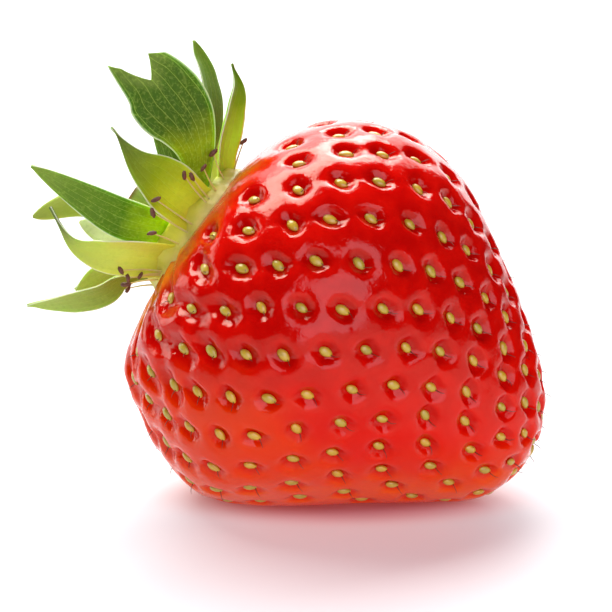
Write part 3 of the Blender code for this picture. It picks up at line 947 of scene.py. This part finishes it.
def makeStem():
    shape = bmesh.new()
    ring = bmesh.ops.create_circle(shape, segments=stub["sides"], radius=1)["verts"]
    along = np.linspace(0, 1, stub["joints"] + 1)
    centres = curveThrough(stub["line"], along)
    count, height = stub["ridges"]
    for index, centre in enumerate(centres):
        if index:
            edges = [edge for edge in shape.edges if edge.verts[0] in ring and edge.verts[1] in ring]
            grown = bmesh.ops.extrude_edge_only(shape, edges=edges)["geom"]
            ring = [part for part in grown if isinstance(part, bmesh.types.BMVert)]
        wide = stub["radius"] * (1 + stub["flare"] * (1 - smoothStep(0, 0.35, along[index])))
        before = centres[index - 1] if index else (0, 0, 0)
        for vert in ring:
            angle = math.atan2(vert.co.y - before[1], vert.co.x - before[0])
            ridge = 1 + height * math.sin(angle * count)
            vert.co = Vector(centre) + Vector((math.cos(angle), math.sin(angle), 0)) * wide * ridge
    rim = [edge for edge in shape.edges if edge.verts[0] in ring and edge.verts[1] in ring]
    cut = bmesh.ops.contextual_create(shape, geom=rim)["faces"]
    bmesh.ops.inset_individual(shape, faces=cut, thickness=0.18, depth=-0.05)
    bmesh.ops.inset_individual(shape, faces=cut, thickness=0.3, depth=-0.1)
    bmesh.ops.recalc_face_normals(shape, faces=shape.faces)
    mesh = meshFrom(shape, "stemStub")
    points = readPoints(mesh)
    addNumbers(mesh, "height", points[:, 2] / stub["line"][-1][2])
    writePoints(mesh, toWorld(points))
    mesh.set_sharp_from_angle(angle=math.radians(50))
    return mesh


def stemMaterial():
    made, tree, shader = newMaterial("stemSkin")
    place = objectPlace(tree)
    colour = mixColour(tree, noiseNode(tree, place, 0.8, 3), *stub["colours"])
    cutEnd = remap(tree, attributeNode(tree, "height"), 0.93, 1.0)
    colour = mixColour(tree, cutEnd, colour, stub["dryEnd"])
    tree.links.new(colour, shader.inputs["Base Color"])
    addBump(tree, shader, noiseNode(tree, place, 0.25, 3), 0.4, 0.1)
    setFinish(shader, stub["finish"])
    return made


finishPiece("stemStub", makeStem(), stemMaterial(), ["stem"])
print("stem done")


# Each stamen is a pale thread with a dark dry anther at its end.
stamens = {
    "places": [  # angle round the fruit, the anther's distance from the axis, its height, its slant
        (8, 9.4, 0.7, 40), (35, 8.3, 2.3, 45), (52, 8.3, 2.2, 55), (62, 8.2, 2.6, 115), (66.5, 8.9, 3.2, 95),
        (88, 9.0, 4.1, 25), (95.5, 8.7, 3.7, 108), (107, 8.3, 2.8, 10), (138, 9.2, 3.4, 120),
        (143, 8.9, 2.5, 100), (140, 8.2, 1.7, 60), (150, 8.9, 2.4, 5), (196, 8.4, 2.4, 70),
        (214, 8.6, 3.2, 20), (238, 8.3, 2.3, 130), (281, 8.7, 3.1, 50), (300, 8.3, 2.2, 100),
        (343, 8.5, 1.6, 15),
    ],
    "ringRadius": 6.35,
    "ringHeight": -0.1,
    "threadRadius": 0.1,
    "threadShare": 0.97,
    "bow": 0.06,
    "threadColours": ((0.50, 0.50, 0.08), (0.64, 0.60, 0.20)),
    "threadFinish": {"Roughness": 0.45, "Subsurface Weight": 0.3, "Subsurface Scale": 0.0004},
    "anther": (0.25, 0.21, 0.52),
    "antherSizes": (0.85, 1.2),
    "antherColours": ((0.02, 0.007, 0.003), (0.26, 0.10, 0.035)),
    "antherFinish": {"Roughness": 0.6},
}


def stamenEnds(angle, reach, height):
    outward = Vector((math.cos(math.radians(angle)), -math.sin(math.radians(angle)), 0))
    root = outward * stamens["ringRadius"] + Vector((0, 0, stamens["ringHeight"]))
    tip = outward * reach + Vector((0, 0, height))
    return root, tip, -outward * stamens["bow"] * (tip - root).length


def makeThreads():
    shape = bmesh.new()
    template = rodTemplate("threadTemplate", 8, 1.0, 0.55, 12)
    for *place, _ in stamens["places"]:
        root, tip, bow = stamenEnds(*place)
        first = len(shape.verts)
        shape.from_mesh(template)
        shape.verts.ensure_lookup_table()
        turn = (tip - root).to_track_quat("Z", "Y")
        for vert in shape.verts[first:]:
            along = vert.co.z * stamens["threadShare"]
            centre = root.lerp(tip, along) + bow * math.sin(math.pi * along)
            vert.co = centre + turn @ Vector((vert.co.x, vert.co.y, 0)) * stamens["threadRadius"]
    mesh = meshFrom(shape, "threads")
    writePoints(mesh, toWorld(readPoints(mesh)))
    return mesh


def makeAnthers():
    shape = bmesh.new()
    wide, thick, long = stamens["anther"]
    for *place, slant in stamens["places"]:
        _, tip, _ = stamenEnds(*place)
        way = np.array((math.cos(math.radians(slant)), 0.0, math.sin(math.radians(slant))))
        turn = Vector(way @ turnMatrix).to_track_quat("Z", "Y")
        ball = bmesh.ops.create_uvsphere(shape, u_segments=18, v_segments=14, radius=1)["verts"]
        swell = random.uniform(*stamens["antherSizes"])
        for vert in ball:
            groove = 1 - 0.45 * math.exp(-((vert.co.x / 0.25) ** 2))
            blunt = 1 - 0.18 * vert.co.z**2
            rough = 1 + 0.28 * noise.noise(vert.co * 2.6 + tip)
            local = Vector((vert.co.x * wide, vert.co.y * thick * groove, vert.co.z * long * blunt))
            vert.co = tip + turn @ (local * swell * rough)
    mesh = meshFrom(shape, "anthers")
    writePoints(mesh, toWorld(readPoints(mesh)))
    return mesh


def threadMaterial():
    made, tree, shader = newMaterial("paleThread")
    colour = mixColour(tree, noiseNode(tree, objectPlace(tree), 0.8, 2), *stamens["threadColours"])
    tree.links.new(colour, shader.inputs["Base Color"])
    setFinish(shader, stamens["threadFinish"])
    return made


def antherMaterial():
    made, tree, shader = newMaterial("dryAnther")
    place = objectPlace(tree)
    colour = mixColour(tree, noiseNode(tree, place, 0.25, 3), *stamens["antherColours"])
    tree.links.new(colour, shader.inputs["Base Color"])
    addBump(tree, shader, noiseNode(tree, place, 0.15, 2), 0.6, 0.08)
    setFinish(shader, stamens["antherFinish"])
    return made


stamenNodes = [f"stamen_{number:02d}" for number in range(1, len(stamens["places"]) + 1)]
finishPiece("stamenThreads", makeThreads(), threadMaterial(), stamenNodes)
finishPiece("stamenAnthers", makeAnthers(), antherMaterial())
print("stamens done")


studio = {
    "floorWhite": 0.35,
    "floorGlow": 0.44,
    # The glow's weaker strength near the fruit and the colours below paint the fruit's shadow and red bounce
    # light on the table.
    "contactShadowGlow": 0.2,
    "contactShadow": ((0.0055, 0.0), (0.0118, 0.0065)),  # middle and half sizes of the painted contact shadow
    "frontShade": ((0.005, -0.019), (0.016, 0.0145)),
    "pinkShade": (1.1, 0.79, 0.77),
    "openPaper": (1.0, 0.93, 0.94),
    "paintedRedBounce": (1.0, 0.13, 0.10),
    "worldWhite": 0.015,
    "lens": 180.0,
    "lookDown": 14.0,
    "distance": 0.2852,
    "aim": (-0.305, 0.0, -12.5),
    "lightsAim": (0, 0, 0.015),
    "lights": {
        # size, place and brightness of each soft light, in metres
        "topSoft": {"size": (0.6, 0.25), "place": (-0.08, 0.22, 0.45), "bright": 11.5, "roll": 14.0},
        "backSoft": {"size": (0.7, 0.37), "place": (-0.02, 0.42, 0.27), "bright": 2.9},
        "backWall": {"size": (1.2, 0.2), "place": (0.0, 0.9, 0.1), "bright": 2.2},
        "leftSoft": {"size": (0.3, 0.26), "place": (-0.46, 0.18, 0.17), "bright": 3.4},
        "frontPanel": {
            "size": (0.5, 0.42), "place": (0.15, -0.46, 0.2), "bright": 3.4, "colour": (0.86, 0.76, 1.1),
        },
    },
}


def distanceFrom(tree, patch):
    # How far each point of the table lies from the patch's middle, in units of the patch's half sizes.
    centre, halves = patch
    shape = [1 / half for half in halves] + [0.0]
    reach = addNode(tree, "ShaderNodeVectorMath", {"Vector": objectPlace(tree)}, operation="MULTIPLY_ADD")
    reach.inputs[1].default_value = shape
    reach.inputs[2].default_value = [-place * scale for place, scale in zip((*centre, 0.0), shape)]
    length = addNode(tree, "ShaderNodeVectorMath", {"Vector": reach.outputs["Vector"]}, operation="LENGTH")
    return length.outputs["Value"]


def makeFloor():
    shape = bmesh.new()
    bmesh.ops.create_grid(shape, x_segments=1, y_segments=1, size=3.0)
    bmesh.ops.translate(shape, verts=shape.verts, vec=(0, 0, -0.00002))
    floor = addObject("table", meshFrom(shape, "table"))
    made, tree, shader = newMaterial("tablePaper")
    white = studio["floorWhite"]
    shader.inputs["Base Color"].default_value = (white, white, white, 1.0)
    shader.inputs["Roughness"].default_value = 0.6
    # Painted shadow and painted bounce light: the glow fades out in a painted contact shadow where the fruit
    # keeps the room's light from the table, turns red close to it as painted red bounce light, and is tinted
    # pink in a painted shadow in front.
    contactShadow = distanceFrom(tree, studio["contactShadow"])
    front = distanceFrom(tree, studio["frontShade"])
    away = mixColour(tree, remap(tree, front, 0.5, 1.5), studio["pinkShade"], studio["openPaper"])
    glow = mixColour(tree, remap(tree, contactShadow, 0.7, 1.8), studio["paintedRedBounce"], away)
    tree.links.new(glow, shader.inputs["Emission Color"])
    strength = remap(tree, contactShadow, 0.7, 1.6, studio["contactShadowGlow"], studio["floorGlow"])
    tree.links.new(strength, shader.inputs["Emission Strength"])
    floor.data.materials.append(made)


def makeLight(name, facts):
    data = bpy.data.lights.new(name, "AREA")
    data.shape = "RECTANGLE"
    data.size, data.size_y = facts["size"]
    data.energy = facts["bright"] * math.pi * data.size * data.size_y
    data.color = facts.get("colour", (1.0, 1.0, 1.0))
    light = addObject(name, data)
    light.location = facts["place"]
    way = Vector(studio["lightsAim"]) - Vector(facts["place"])
    aimed = way.to_track_quat("-Z", "Y").to_matrix()
    light.rotation_euler = (aimed @ Matrix.Rotation(math.radians(facts.get("roll", 0.0)), 3, "Z")).to_euler()


def makeCamera():
    down = math.radians(studio["lookDown"])
    forward = Vector((0, math.cos(down), -math.sin(down)))
    data = bpy.data.cameras.new("studioCamera")
    data.lens = studio["lens"]
    data.sensor_width = 36.0
    data.clip_start = 0.01
    camera = addObject("studioCamera", data)
    target = Vector(toWorld(np.array([studio["aim"]]))[0])
    camera.location = target - forward * studio["distance"]
    camera.rotation_euler = (math.pi / 2 - down, 0, 0)
    bpy.context.scene.camera = camera


def makeWorld():
    world = bpy.data.worlds.new("studio")
    world.use_nodes = True
    white = studio["worldWhite"]
    world.node_tree.nodes["Background"].inputs["Color"].default_value = (white, white, white, 1.0)
    bpy.context.scene.world = world
    bpy.context.scene.view_settings.view_transform = "Standard"


makeFloor()
for name, facts in studio["lights"].items():
    makeLight(name, facts)
makeCamera()
makeWorld()
print("studio done")
